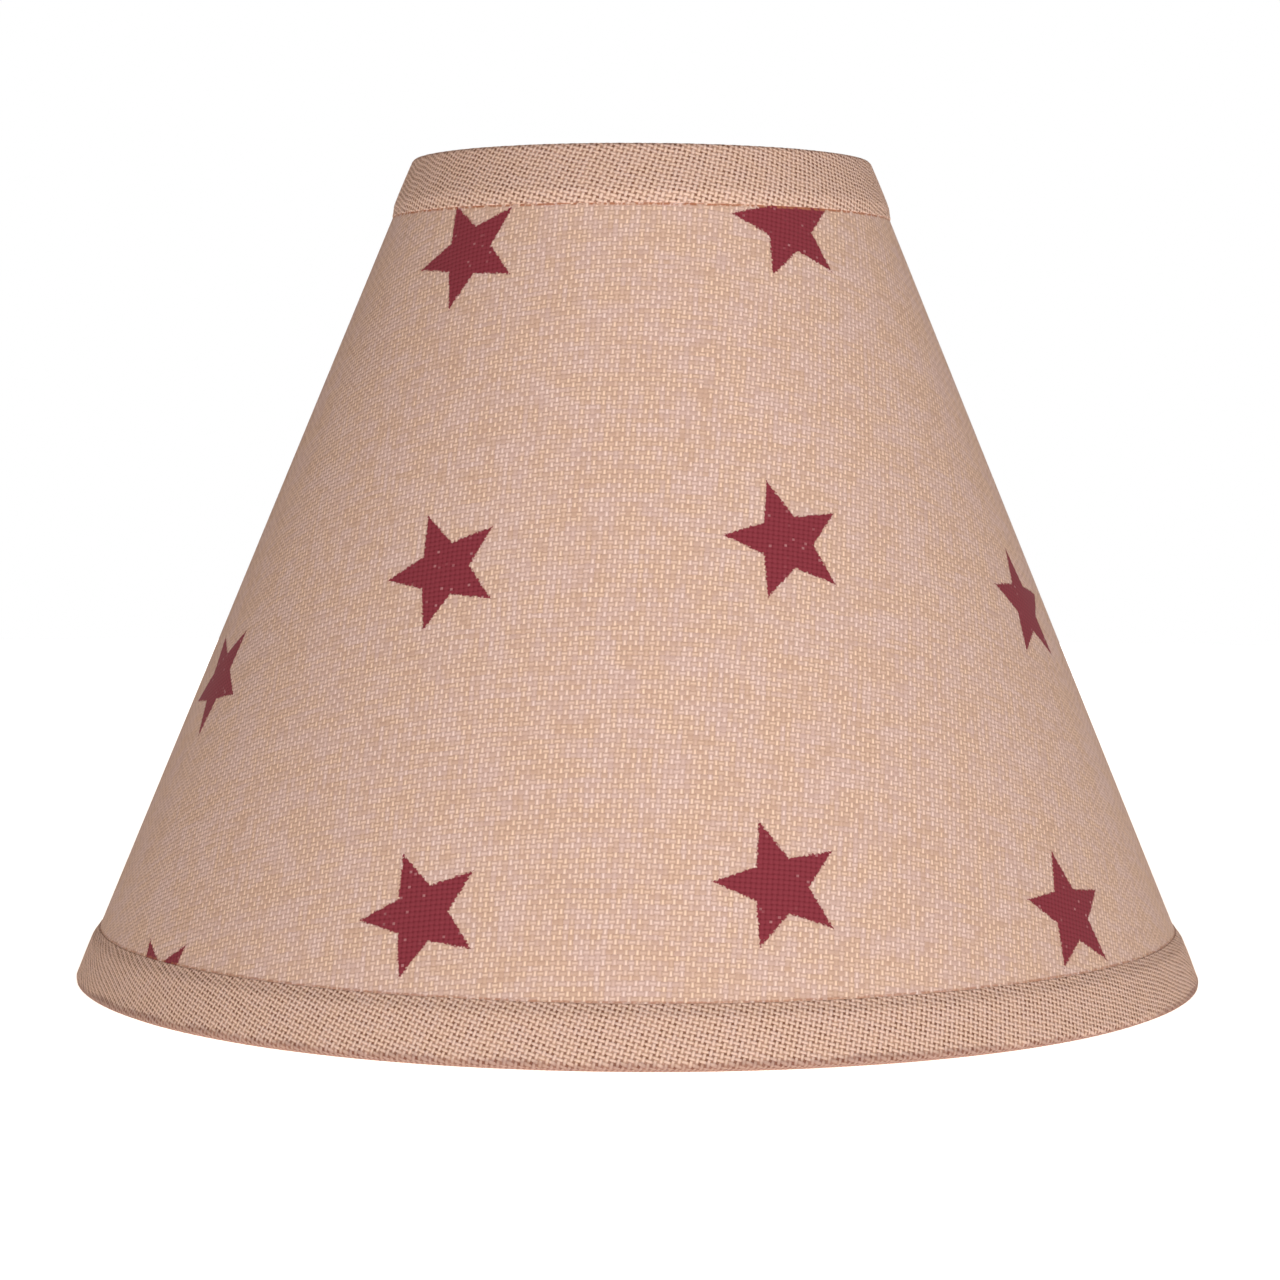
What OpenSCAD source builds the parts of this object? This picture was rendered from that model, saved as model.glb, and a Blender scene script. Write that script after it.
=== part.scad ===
// Empire lamp shade: a cone of printed cotton on a stiff liner, closed by a lap at the back,
// with a wire ring inside a cloth hem at each rim, and a tilting spring clip that grips a bulb.
// Millimetres, +Z up, front towards -Y. The origin is the centre of the circle it stands on.

/* [Cone] */
// Diameter of the printed face, carried down to the plane of the lower rim
bottom_d = 254; // [203:1:305]
// Diameter of the printed face, carried up to the plane of the upper rim
top_d = 101.6; // [84.6:0.1:122]
// Height from the lower rim to the upper rim
shade_h = 185; // [154:1:222]

/* [Wall] */
// Thickness of the stiff liner
liner_t = 0.5; // [0.4:0.05:0.6]
// Thickness of the printed cloth
face_t = 0.6; // [0.5:0.05:0.75]
// Thickness of the adhesive tape that closes the lap
tape_t = 0.15; // [0.1:0.01:0.2]
// Width of the lap at the back
lap_w = 10; // [8:0.5:12]
// Film of glue between one bonded layer and the next
glue_gap = 0.05; // [0.04:0.01:0.06]

/* [Hems] */
// Thickness of the hem's cloth
hem_t = 0.7; // [0.55:0.05:0.85]
// Width of a hem on the outside, along the slant
hem_outer_w = 14; // [11.5:0.5:17]
// Width of a hem on the inside, along the slant
hem_inner_w = 11; // [9:0.5:13.5]
// Slack between a hem and the wire it wraps
hem_slack = 0.1; // [0.1:0.01:0.12]
// Distance along the slant over which the hem comes back from the wire to the liner
hem_knee = 5; // [4:0.5:6]
// Width of the flat that the lower hem is pressed to where it stands
foot_w = 1.5; // [1.2:0.1:1.6]

/* [Rings and arms] */
// Diameter of the ring wire
ring_wire_d = 3; // [2.5:0.1:3.6]
// Diameter of the arm wire
arm_wire_d = 2.6; // [2.2:0.1:3.1]
// Depth of the pivot below the upper rim
pivot_drop = 13; // [11.5:0.5:15.5]
// Radius of the bend between an arm's level run and its eye
arm_bend_r = 5; // [4:0.5:6]
// Thickness of the flattened eye
eye_t = 1.4; // [1.2:0.1:1.7]
// Width of the flattened eye
eye_d = 8.4; // [7:0.1:10]
// Clearance round an arm where it passes through the hem
arm_notch_gap = 0.4; // [0.3:0.1:0.5]

/* [Pivot] */
// Diameter of the rivet
rivet_d = 3; // [2.5:0.1:3.6]
// Radial clearance of the rivet in its bores
running_gap = 0.05; // [0.03:0.01:0.08]
// Diameter of the rivet's heads
rivet_head_d = 6; // [5:0.1:7.2]
// Thickness of a rivet head
rivet_head_t = 1.2; // [1:0.1:1.4]
// Diameter of the friction washers
washer_d = 8; // [7:0.1:9.6]
// Thickness of the friction washers
washer_t = 0.8; // [0.7:0.05:1]
// Side clearance between neighbours on the rivet
side_gap = 0.1; // [0.08:0.01:0.12]

/* [Bulb clip] */
// Thickness of the saddle's sheet
saddle_t = 1; // [0.8:0.1:1.2]
// Width of the saddle from front to back
saddle_w = 12; // [10:0.5:14.5]
// Room between the rivet's axis and the underside of the saddle
saddle_room = 5; // [4.5:0.1:6]
// Diameter of the clip's spring wire
clip_wire_d = 1.8; // [1.5:0.1:2.1]
// Turns in each coil on the rivet
coil_turns = 2; // [2:1:3]
// Gap between neighbouring coils, and between a coil and the saddle's ear
coil_gap = 0.5; // [0.4:0.1:0.6]
// Half the bare stretch of rivet between the two innermost coils
coil_centre_gap = 3; // [2.5:0.1:3.6]
// Radius of a loop, to the middle of its wire
loop_r = 17.5; // [14.6:0.1:21]
// Distance between the two loops at rest, to the middle of their wires
loop_spread = 44; // [37:1:52]
// Depth of the loops' centres below the rivet
loop_drop = 38; // [33:0.5:42]
// Depth below the rivet at which a leg turns in towards its coil
shoulder_drop = 12; // [10:0.5:14]

/* [Hidden] */

cone_fn = 144;
wire_fn = 36;
arc_steps = 10;
cut_over = 1;
knuckle_swell = 1.08;

// The slant of the cone. A place on the wall is [n, t]: n is the distance out from the
// printed face, and t is the distance up the slant from the lower rim.
slant = norm([bottom_d / 2 - top_d / 2, shade_h]);
lean_sin = (bottom_d / 2 - top_d / 2) / slant;
lean_cos = shade_h / slant;
lean = asin(lean_sin);

// The layers, from the face inwards
liner_out = -face_t - glue_gap;
liner_in = liner_out - liner_t;
ring_n = liner_in - glue_gap - ring_wire_d / 2;

// The layers of the lap, from the face outwards
tape_out = glue_gap + tape_t;
liner_lap_in = tape_out + glue_gap;
liner_lap_out = liner_lap_in + liner_t;
face_lap_in = liner_lap_out + glue_gap;
face_lap_out = face_lap_in + face_t;

// Where the lap's layers start and step, across the back
lap_end = -lap_w / 2;
under_end = lap_w / 2;
liner_step = under_end + glue_gap;
face_step = liner_step + liner_t + glue_gap;
lap_root = face_step + face_t;

// The rings, each a hem's thickness inside its rim
wrap_r = ring_wire_d / 2 + hem_slack;
wrap_out_r = wrap_r + hem_t;
foot_half_angle = asin(foot_w / 2 / wrap_out_r);
bottom_ring_z = wrap_out_r * cos(foot_half_angle);
top_ring_z = shade_h - wrap_out_r;
bottom_ring_t = (bottom_ring_z - ring_n * lean_sin) / lean_cos;
top_ring_t = (wrap_out_r + ring_n * lean_sin) / lean_cos;
top_ring_r = top_d / 2 + ring_n * lean_cos + top_ring_t * lean_sin;

// How far the wall stops short of each rim, so that the hem turns over it inside the rim
wall_short = (hem_t + glue_gap) / lean_cos;
bottom_edge_t = max(bottom_ring_t - wrap_r, wall_short);
top_edge_t = max(top_ring_t - wrap_r, wall_short);

// The pivot, worked out along the rivet from the middle
pivot_z = shade_h - pivot_drop;
bore_r = rivet_d / 2 + running_gap;
coil_r = bore_r + clip_wire_d / 2;
coil_len = coil_turns * clip_wire_d;
back_coil_x = coil_centre_gap + coil_len / 2;
front_coil_x = back_coil_x + coil_len + coil_gap;
ear_in_x = front_coil_x + coil_len / 2 + coil_gap;
washer_in_x = ear_in_x + saddle_t + side_gap;
eye_in_x = washer_in_x + washer_t + side_gap;
eye_out_x = eye_in_x + eye_t;
eye_x = (eye_in_x + eye_out_x) / 2;

function wall(n, t) = [
    bottom_d / 2 + n * lean_cos - t * lean_sin,
    n * lean_sin + t * lean_cos
];

function arc(c, r, a0, a1) =
    [for (i = [0:arc_steps]) let (a = a0 + (a1 - a0) * i / arc_steps) c + r * [cos(a), sin(a)]];

// The direction of the line that touches the outsides of two circles
function common_normal(c1, r1, c2, r2, side) =
    let (d = c1 - c2) atan2(d.y, d.x) + side * acos((r2 - r1) / norm(d));

// One face of a hem, r away from what the hem lies on, with t measured from the hem's own rim.
// It runs down the outside, turns over the wall's edge, goes round the wire, and comes back
// up the inside. foot is the direction of the ground, or 0 where the hem isn't pressed flat.
function hem_side(edge_t, ring_t, r, foot) =
    let (
        edge = [0, edge_t],
        ring = [ring_n, ring_t],
        knee = [liner_in - glue_gap, ring_t + hem_knee],
        on = common_normal(edge, glue_gap, ring, wrap_r, -1),
        off = common_normal(knee, 0, ring, wrap_r, 1),
        off_dir = [cos(off), sin(off)],
        in_dir = [-1, 0],
        round_wire = foot == 0
            ? arc(ring, wrap_r + r, on, off - 360)
            : concat(
                arc(ring, wrap_r + r, on, foot + foot_half_angle),
                arc(ring, wrap_r + r, foot - foot_half_angle, off - 360)
            )
    )
    concat(
        [[glue_gap + r, hem_outer_w]],
        arc(edge, glue_gap + r, 0, on),
        round_wire,
        [knee + r * (off_dir + in_dir) / (1 + off_dir * in_dir)],
        [[knee.x - r, max(hem_inner_w, knee.y + hem_t)]]
    );

function reversed(list) = [for (i = [len(list) - 1:-1:0]) list[i]];

function hem_outline(edge_t, ring_t, foot) =
    concat(hem_side(edge_t, ring_t, hem_t, foot), reversed(hem_side(edge_t, ring_t, 0, 0)));

// The hem's swelling over the lap, and the pocket inside it
function lap_cover(edge_t) = concat(
    [[face_lap_out + glue_gap + hem_t, hem_outer_w]],
    arc([face_lap_out, edge_t], glue_gap + hem_t, 0, -90),
    [[0, edge_t - glue_gap - hem_t], [glue_gap, edge_t], [glue_gap, hem_outer_w]]
);

function lap_pocket(edge_t) = [
    [face_lap_out + glue_gap, hem_outer_w + cut_over],
    [face_lap_out + glue_gap, edge_t - glue_gap],
    [0, edge_t - glue_gap],
    [0, hem_outer_w + cut_over]
];

// A ring of cloth or sheet from an outline in [n, t]. up is 1 from the lower rim and -1 from the upper.
module turned(outline, up) {
    rotate_extrude($fn = cone_fn)
        polygon([for (p = outline) wall(p.x, up > 0 ? p.y : slant - p.y)]);
}

// A layer of the wall, between two distances out from the face
module layer(n0, n1) {
    t0 = bottom_edge_t;
    t1 = slant - top_edge_t;
    turned([[n0, t0], [n1, t0], [n1, t1], [n0, t1]], 1);
}

// The slice of the back between two distances across it
module back_slice(x0, x1) {
    translate([x0, 0, -cut_over])
        cube([x1 - x0, bottom_d, shade_h + 2 * cut_over]);
}

// A fan of sheet: it runs all round, steps out at its end, and laps over its own start.
// Both layers run on to the middle of the step, so that the three join as one sheet.
module lapped_fan(n0, n1, lap_n0, lap_n1, step_x, step_w) {
    mid_step = step_x + step_w / 2;
    difference() {
        layer(n0, n1);
        back_slice(under_end, mid_step);
    }
    intersection() {
        layer(n0, lap_n1);
        back_slice(step_x, step_x + step_w);
    }
    intersection() {
        layer(lap_n0, lap_n1);
        back_slice(lap_end, mid_step);
    }
}

module hem(edge_t, ring_t, foot, up) {
    difference() {
        union() {
            turned(hem_outline(edge_t, ring_t, foot), up);
            intersection() {
                turned(lap_cover(edge_t), up);
                back_slice(lap_end - glue_gap - hem_t, lap_root + glue_gap + hem_t);
            }
        }
        intersection() {
            turned(lap_pocket(edge_t), up);
            back_slice(lap_end - glue_gap, lap_root + glue_gap);
        }
    }
}

module wire_ring(r, z, d) {
    translate([0, 0, z])
        rotate_extrude($fn = cone_fn)
            translate([r, 0])
                circle(d = d, $fn = wire_fn);
}

// A round rod along X from one distance to another
module rod_x(x0, x1, r) {
    translate([x0, 0, 0])
        rotate([0, 90, 0])
            cylinder(r = r, h = x1 - x0, $fn = wire_fn);
}

// A straight wire between two points, with a knuckle at its start where the wire is bent
module wire_run(a, b, d) {
    v = b - a;
    translate(a) {
        sphere(d = d * knuckle_swell, $fn = wire_fn);
        rotate([0, acos(v.z / norm(v)), atan2(v.y, v.x)])
            cylinder(d = d, h = norm(v), $fn = wire_fn);
    }
}

module hardback_liner() {
    color("ivory")
        lapped_fan(liner_in, liner_out, liner_lap_in, liner_lap_out, liner_step, liner_t);
}

module face_fabric() {
    color("tan")
        lapped_fan(-face_t, 0, face_lap_in, face_lap_out, face_step, face_t);
}

module seam_tape() {
    color("gainsboro")
        intersection() {
            layer(glue_gap, tape_out);
            back_slice(lap_end, under_end);
        }
}

module bottom_hem() {
    color("burlywood")
        hem(bottom_edge_t, bottom_ring_t, -90 - lean, 1);
}

// The upper hem is notched on the inside where the two arms leave the ring
module top_hem() {
    color("burlywood")
        difference() {
            hem(top_edge_t, top_ring_t, 0, -1);
            for (side = [-1, 1])
                scale([side, 1, 1])
                    translate([0, 0, top_ring_z])
                        rod_x(eye_x, top_ring_r, arm_wire_d / 2 + arm_notch_gap);
        }
}

module bottom_ring() {
    color("silver")
        wire_ring(wall(ring_n, bottom_ring_t).x, bottom_ring_z, ring_wire_d);
}

module top_ring() {
    color("silver")
        wire_ring(top_ring_r, top_ring_z, ring_wire_d);
}

// The right-hand arm: level from the ring, bent down, and flattened to an eye on the rivet.
// Its outer end is coped to the ring, where it is welded.
module spider_arm() {
    bend_x = eye_x + arm_bend_r;
    bend_z = top_ring_z - arm_bend_r;
    difference() {
        translate([0, 0, top_ring_z])
            rod_x(bend_x, top_ring_r, arm_wire_d / 2);
        wire_ring(top_ring_r, top_ring_z, ring_wire_d);
    }
    translate([bend_x, 0, bend_z])
        rotate([90, 0, 0])
            rotate([0, 0, 90])
                rotate_extrude(angle = 90, $fn = cone_fn)
                    translate([arm_bend_r, 0])
                        circle(d = arm_wire_d, $fn = wire_fn);
    difference() {
        union() {
            translate([0, 0, pivot_z])
                rod_x(eye_in_x, eye_out_x, eye_d / 2);
            translate([eye_in_x, -arm_wire_d, pivot_z])
                cube([eye_t, 2 * arm_wire_d, bend_z - pivot_z]);
        }
        translate([0, 0, pivot_z])
            rod_x(eye_in_x - cut_over, eye_out_x + cut_over, bore_r);
    }
}

module spider_arm_right() {
    color("silver")
        spider_arm();
}

module spider_arm_left() {
    color("silver")
        mirror([1, 0, 0])
            spider_arm();
}

module pivot_rivet() {
    color("silver")
        translate([0, 0, pivot_z]) {
            rod_x(-eye_out_x, eye_out_x, rivet_d / 2);
            for (turn = [0, 180])
                rotate([0, 0, turn])
                    translate([eye_out_x, 0, 0])
                        rotate([0, 90, 0])
                            cylinder(
                                d1 = rivet_head_d,
                                d2 = rivet_head_d - rivet_head_t,
                                h = rivet_head_t,
                                $fn = wire_fn
                            );
        }
}

module friction_washer() {
    translate([0, 0, pivot_z])
        difference() {
            rod_x(washer_in_x, washer_in_x + washer_t, washer_d / 2);
            rod_x(washer_in_x - cut_over, washer_in_x + washer_t + cut_over, bore_r);
        }
}

module friction_washer_right() {
    color("goldenrod")
        friction_washer();
}

module friction_washer_left() {
    color("goldenrod")
        mirror([1, 0, 0])
            friction_washer();
}

// A stamped channel: a plate over the coils, and an ear at each end that hangs on the rivet
module clip_saddle() {
    half_len = ear_in_x + saddle_t;
    ear_r = saddle_room;
    color("silver")
        translate([0, 0, pivot_z])
            difference() {
                union() {
                    translate([-half_len, -saddle_w / 2, saddle_room])
                        cube([2 * half_len, saddle_w, saddle_t]);
                    for (x = [-half_len, ear_in_x]) {
                        rod_x(x, x + saddle_t, ear_r);
                        translate([x, -ear_r, 0])
                            cube([saddle_t, 2 * ear_r, saddle_room]);
                    }
                }
                rod_x(-half_len - cut_over, half_len + cut_over, bore_r);
            }
}

// The front loop: a near-full circle of spring wire, two legs that turn in over the bulb,
// a coil at the top of each, and a short tail that bears on the saddle from below.
module clip_loop(coil_x) {
    open_angle = acos(coil_x / loop_r);
    leg_y = -loop_spread / 2;
    tail_top = saddle_room - coil_gap - clip_wire_d / 2;
    translate([0, 0, pivot_z]) {
        translate([0, leg_y, -loop_drop])
            rotate([90, 0, 0])
                rotate([0, 0, 180 - open_angle])
                    rotate_extrude(angle = 180 + 2 * open_angle, $fn = cone_fn)
                        translate([loop_r, 0])
                            circle(d = clip_wire_d, $fn = wire_fn);
        for (x = [-coil_x, coil_x]) {
            foot = [x, leg_y, loop_r * sin(open_angle) - loop_drop];
            shoulder = [x, leg_y, -shoulder_drop];
            wire_run(foot, shoulder, clip_wire_d);
            difference() {
                union() {
                    wire_run(shoulder, [x, -coil_r, 0], clip_wire_d);
                    rod_x(x - coil_len / 2, x + coil_len / 2, coil_r + clip_wire_d / 2);
                    wire_run([x, coil_r, tail_top], [x, coil_r, 0], clip_wire_d);
                }
                rod_x(x - coil_len, x + coil_len, bore_r);
            }
        }
    }
}

module clip_loop_front() {
    color("silver")
        clip_loop(front_coil_x);
}

module clip_loop_back() {
    color("silver")
        mirror([0, 1, 0])
            clip_loop(back_coil_x);
}

hardback_liner();
face_fabric();
seam_tape();
top_hem();
bottom_hem();
top_ring();
bottom_ring();
spider_arm_left();
spider_arm_right();
pivot_rivet();
friction_washer_left();
friction_washer_right();
clip_saddle();
clip_loop_front();
clip_loop_back();
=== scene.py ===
# %% [markdown]
# # A cotton lamp shade with printed stars
#
# The shade is a cone of printed cotton bonded to a stiff white liner. A strip of plain
# cotton wraps each rim and hides a wire ring, two wire arms reach in from the upper ring,
# and a sprung clip hangs between them on a rivet and grips the bulb. The mechanical model
# is loaded first and is never moved. Everything below is built around it, in metres.

# %% Load the mechanical model
import math

import bpy
import numpy as np
from mathutils import Matrix, Vector


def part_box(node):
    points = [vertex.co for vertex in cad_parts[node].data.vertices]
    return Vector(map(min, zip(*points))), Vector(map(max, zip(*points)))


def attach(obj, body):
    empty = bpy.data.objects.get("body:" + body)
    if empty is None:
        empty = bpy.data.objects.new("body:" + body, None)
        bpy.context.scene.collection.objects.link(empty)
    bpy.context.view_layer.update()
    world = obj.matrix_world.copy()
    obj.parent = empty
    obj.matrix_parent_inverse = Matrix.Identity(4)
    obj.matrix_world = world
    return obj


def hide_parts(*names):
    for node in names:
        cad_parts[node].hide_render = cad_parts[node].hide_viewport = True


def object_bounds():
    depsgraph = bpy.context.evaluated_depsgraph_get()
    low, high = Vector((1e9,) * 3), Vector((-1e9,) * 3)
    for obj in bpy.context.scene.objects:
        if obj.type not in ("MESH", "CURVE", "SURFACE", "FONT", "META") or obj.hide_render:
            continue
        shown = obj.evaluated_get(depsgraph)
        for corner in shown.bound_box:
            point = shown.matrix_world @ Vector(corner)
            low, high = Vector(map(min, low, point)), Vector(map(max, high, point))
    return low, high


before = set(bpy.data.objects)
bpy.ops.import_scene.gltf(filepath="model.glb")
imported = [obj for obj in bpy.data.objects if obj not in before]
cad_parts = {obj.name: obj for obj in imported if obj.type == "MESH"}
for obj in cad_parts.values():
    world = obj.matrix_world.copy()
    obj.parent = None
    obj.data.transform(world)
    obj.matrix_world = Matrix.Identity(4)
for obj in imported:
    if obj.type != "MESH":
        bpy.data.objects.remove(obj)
cad_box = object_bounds()
MM = 0.001
print("nodes:", ", ".join(sorted(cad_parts)))

# %% [markdown]
# ## The camera
#
# A shade is seen at its best from a little above its middle, through a long lens, so that
# both rims curve gently. A real lens length and a real distance are easier
# to reason about than a matrix, so the camera is placed like a tripod: a distance from
# the shade's axis, an eye height, a slight tilt down and a trace of roll.

# %% Place the camera
EYE_DISTANCE = 0.780
EYE_HEIGHT = 0.120
EYE_ASIDE = 0.0002
LENS_MM = 96.3
TILT_DOWN = math.radians(3.17)
ROLL = math.radians(0.296)

camera = bpy.data.objects.new("camera", bpy.data.cameras.new("camera"))
bpy.context.scene.collection.objects.link(camera)
camera.data.lens = LENS_MM
camera.data.sensor_width = 36
camera.data.clip_start = 0.01
aim = Matrix.Rotation(math.pi / 2 - TILT_DOWN, 4, "X") @ Matrix.Rotation(ROLL, 4, "Z")
camera.matrix_world = Matrix.Translation((EYE_ASIDE, -EYE_DISTANCE, EYE_HEIGHT)) @ aim
bpy.context.scene.camera = camera
print(f"camera {EYE_DISTANCE:.2f} m away, {LENS_MM} mm lens")

# %% [markdown]
# ## Studio and floor
#
# The shade stands on a glowing white table, as in a light box. A broad lamp above the
# camera gives the cloth its brighter middle, and a weak one on the right keeps that side
# from falling as dark as the left. A third lamp lights the back. The rest of the room
# returns a dim, warm light to the cloth, because it has already bounced off the shade and
# its surroundings. The camera and the metal's reflections see plain white walls. One
# Light Path node tells the two kinds of ray apart.

# %% Light the studio
ROOM_LIGHT = (0.10, 0.045, 0.015, 1)
SOFTBOX = 0.6
FRONT_WATTS = 13.5
SIDE_WATTS = 2.7
REAR_WATTS = 7.0

scene = bpy.context.scene
scene.view_settings.view_transform = "Standard"
world = bpy.data.worlds.new("studio")
scene.world = world
world.use_nodes = True
ground = world.node_tree.nodes["Background"]
seen = world.node_tree.nodes.new("ShaderNodeLightPath")
level = world.node_tree.nodes.new("ShaderNodeMix")
level.data_type = "RGBA"
level.inputs[6].default_value = (1, 1, 1, 1)
level.inputs[7].default_value = ROOM_LIGHT
world.node_tree.links.new(seen.outputs["Is Diffuse Ray"], level.inputs[0])
world.node_tree.links.new(level.outputs[2], ground.inputs["Color"])


def soft_lamp(name, place, watts):
    """A square softbox at place, facing the middle of the shade."""
    data = bpy.data.lights.new(name, "AREA")
    data.size, data.energy = SOFTBOX, watts
    lamp = bpy.data.objects.new(name, data)
    scene.collection.objects.link(lamp)
    facing = ((cad_box[0] + cad_box[1]) / 2 - Vector(place)).to_track_quat("-Z", "Y")
    lamp.matrix_world = Matrix.LocRotScale(Vector(place), facing, None)
    print(f"{name} lamp: {watts} W")


soft_lamp("front", (0.0, -1.5, 0.25), FRONT_WATTS)
soft_lamp("side", (1.1, -0.8, 0.45), SIDE_WATTS)
soft_lamp("rear", (0.1, 1.6, 0.4), REAR_WATTS)

# %% [markdown]
# ## Reading the cone from its rings
#
# Both wire rings sit at the same depth inside the wall, so the line between their centres
# runs along the slant. Every place on the wall is then two numbers: how far **across** it
# lies, outwards from that line, and how far **up** the slant from the lower ring. Layers
# are measured on the mechanical model in those two numbers, so nothing is typed twice.


# %% Measure the wall
def ring_of(node):
    """Radius, height and wire diameter of a ring lying level."""
    low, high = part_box(node)
    wire = high.z - low.z
    return high.x - wire / 2, (low.z + high.z) / 2, wire


low_r, low_z, ring_wire = ring_of("bottom_ring")
top_r, top_z, _ = ring_of("top_ring")
slant = math.hypot(low_r - top_r, top_z - low_z)
lean_sin = (low_r - top_r) / slant
lean_cos = (top_z - low_z) / slant


def wall(across, up):
    """Radius and height of a place on the wall."""
    return low_r + across * lean_cos - up * lean_sin, low_z + across * lean_sin + up * lean_cos


def corners_of(node):
    """A node's vertices as x, y, across and up."""
    x, y, z = np.array([v.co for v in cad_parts[node].data.vertices]).T
    r = np.hypot(x, y) - low_r
    return x, y, r * lean_cos + (z - low_z) * lean_sin, (z - low_z) * lean_cos - r * lean_sin


def layer_of(node):
    """The layer's inner and outer face and its two ends, away from the lap, and its lap."""
    x, y, across, up = corners_of(node)
    front = y < 0
    inner, outer = across[front].min(), across[front].max()
    lap = (y > 0) & (across > outer + 1e-5)
    return {
        "inner": inner, "outer": outer, "low": up.min(), "high": up.max(),
        "lift": across[lap].max() - outer, "end": x[lap].min(), "root": x[lap].max(),
    }


face, liner = layer_of("face_fabric"), layer_of("hardback_liner")
tape_low, tape_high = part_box("seam_tape")
under_end = tape_high.x
print(f"slant {slant / MM:.1f} mm, lean {math.degrees(math.asin(lean_sin)):.2f} degrees")
print("face", {k: round(v / MM, 2) for k, v in face.items()})
print("liner", {k: round(v / MM, 2) for k, v in liner.items()})

# %% [markdown]
# ## Shader sums as Python
#
# A weave is arithmetic on a position. Written with node links it would take pages, so a
# small class wraps one output of a node and overloads the operators. `1 - crest * 0.5`
# then adds its own Math nodes.


# %% A value in a material
class Value:
    """A number, colour or vector that varies over a surface."""

    def __init__(self, recipe, socket):
        self.recipe, self.socket = recipe, socket

    def __add__(self, other):
        return self.recipe.maths("ADD", self, other)

    def __sub__(self, other):
        return self.recipe.maths("SUBTRACT", self, other)

    def __rsub__(self, other):
        return self.recipe.maths("SUBTRACT", other, self)

    def __mul__(self, other):
        return self.recipe.maths("MULTIPLY", self, other)

    def __truediv__(self, other):
        return self.recipe.maths("DIVIDE", self, other)

    def __rtruediv__(self, other):
        return self.recipe.maths("DIVIDE", other, self)

    def __abs__(self):
        return self.recipe.maths("ABSOLUTE", self)

    __radd__ = __add__
    __rmul__ = __mul__


# %% [markdown]
# ## A recipe for each material
#
# A material is a tree of nodes that ends in one shader. The recipe owns the tree, adds any
# node from its type, settings and inputs, and sets the shader's sockets at the end. It
# offers `cos`, `rint`, `sqrt` and `maximum` under numpy's names, so that one formula can
# both shape a mesh and paint it.


# %% A recipe for a material
class Recipe:
    """A material being put together. node() adds any node and hands back one output."""

    def __init__(self, name):
        self.material = bpy.data.materials.new(name)
        self.material.use_nodes = True
        self.tree = self.material.node_tree
        self.shader = self.tree.nodes["Principled BSDF"]

    def node(self, kind, settings=(), inputs=(), output=0):
        made = self.tree.nodes.new("ShaderNode" + kind)
        for key, value in dict(settings).items():
            setattr(made, key, value)
        self.fill(made, inputs)
        return Value(self, made.outputs[output])

    def fill(self, made, inputs):
        for key, value in dict(inputs).items():
            if isinstance(value, Value):
                self.tree.links.new(value.socket, made.inputs[key])
            else:
                made.inputs[key].default_value = value

    def maths(self, operation, *values):
        return self.node("Math", {"operation": operation}, enumerate(values))

    def cos(self, x):
        return self.maths("COSINE", x)

    def rint(self, x):
        return self.maths("ROUND", x)

    def sqrt(self, x):
        return self.maths("SQRT", x)

    def maximum(self, a, b):
        return self.maths("MAXIMUM", a, b)

    def between(self, x, low, high):
        """0 where x is at low, 1 where it is at high, and smooth on the way."""
        return self.node(
            "MapRange", {"interpolation_type": "SMOOTHSTEP"},
            {"Value": x, "From Min": low, "From Max": high},
        )

    def mix(self, share, a, b):
        """Colour a where share is 0 and b where it is 1."""
        return self.node("Mix", {"data_type": "RGBA"}, {0: share, 6: a, 7: b}, 2)

    def noise(self, x, y, scale, detail=1.0):
        """Cloudy values from 0 to 1 over two coordinates."""
        place = self.node("CombineXYZ", (), {0: x, 1: y})
        inputs = {"Vector": place, "Scale": scale, "Detail": detail}
        return self.node("TexNoise", {"noise_dimensions": "2D"}, inputs)

    def plane(self, layer):
        """The two coordinates of a UV map drawn in millimetres of flat cloth."""
        uv = self.node("UVMap", {"uv_map": layer})
        return (self.node("SeparateXYZ", (), {0: uv}, k) for k in (0, 1))

    def cloud(self, scale, detail=2.0):
        """Cloudy values from 0 to 1 through the solid, for a piece with no flat plan."""
        place = self.node("TexCoord", (), (), 3)
        return self.node("TexNoise", (), {"Vector": place, "Scale": scale, "Detail": detail})

    def bump(self, height, distance, strength):
        return self.node("Bump", (), {"Height": height, "Distance": distance, "Strength": strength})

    def finish(self, **sockets):
        """Sets the shader's sockets, named with underscores for spaces, and returns the material."""
        self.fill(self.shader, {k.replace("_", " "): v for k, v in sockets.items()})
        print(f"{self.material.name}: {len(self.tree.nodes)} nodes")
        return self.material


def paint(red, green, blue):
    """A screen colour, from 0 to 255, as the linear colour that light obeys."""
    def linear(c):
        c /= 255
        return c / 12.92 if c <= 0.04045 else ((c + 0.055) / 1.055) ** 2.4
    return linear(red), linear(green), linear(blue), 1.0


# %% [markdown]
# ## Thin shells from a grid
#
# Cloth and liner are thin shells with two skins. Each column of the grid is a loop that
# runs along the outer skin and back along the inner one, and the columns follow the sheet
# round the shade. Filling the faces by index keeps two exact maps on the mesh: **cloth**,
# the flat cut in millimetres that the weave is drawn in, and **OFBake**, the same sheet
# laid out inside the unit square with nothing overlapping. Where the second layout jumps,
# the faces across the jump get small squares of their own in the free strip at the top.

# %% Build a shell
TORN_OVER = 0.05
SPOT = 0.003
SPOT_PITCH = 0.004
SPOTS_ACROSS = 245
SPOTS_FROM = (0.002, 0.955)


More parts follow.
